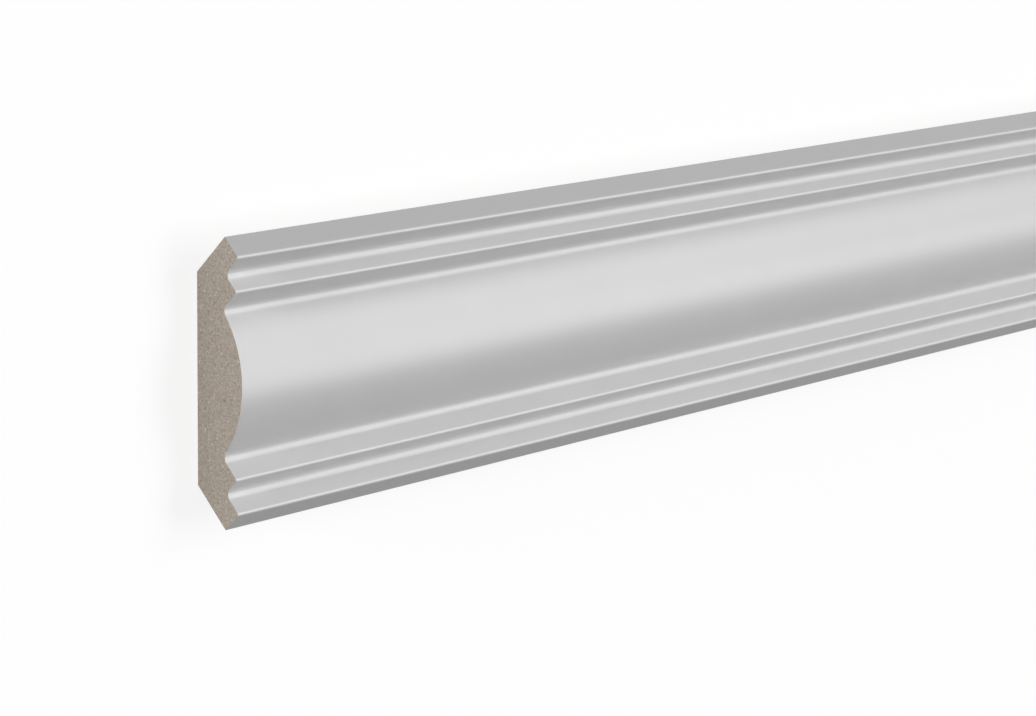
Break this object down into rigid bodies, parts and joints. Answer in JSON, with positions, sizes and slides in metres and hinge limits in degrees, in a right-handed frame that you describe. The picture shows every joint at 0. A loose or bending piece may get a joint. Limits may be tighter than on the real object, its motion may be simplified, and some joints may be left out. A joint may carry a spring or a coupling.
{
  "type": "cornice moulding",
  "caption": "Length of primed cornice moulding with a bulged middle, a ridge and cove on each side, a flat back and a bevelled seat along each long edge.",
  "frame": {"origin": "centre of the flat back face, on which the moulding lies", "axes": "+X along the length, +Y across the face, +Z from the flat back out through the moulded face"},
  "size_m": [2.44, 0.0834, 0.0179],
  "materials": {
    "primed_mdf": "satin white primer on the moulded face, raw fibreboard on the cut ends, seats and back"
  },
  "bodies": {
    "root": {"cornice_moulding": "primed_mdf"}
  },
  "joints": []
}
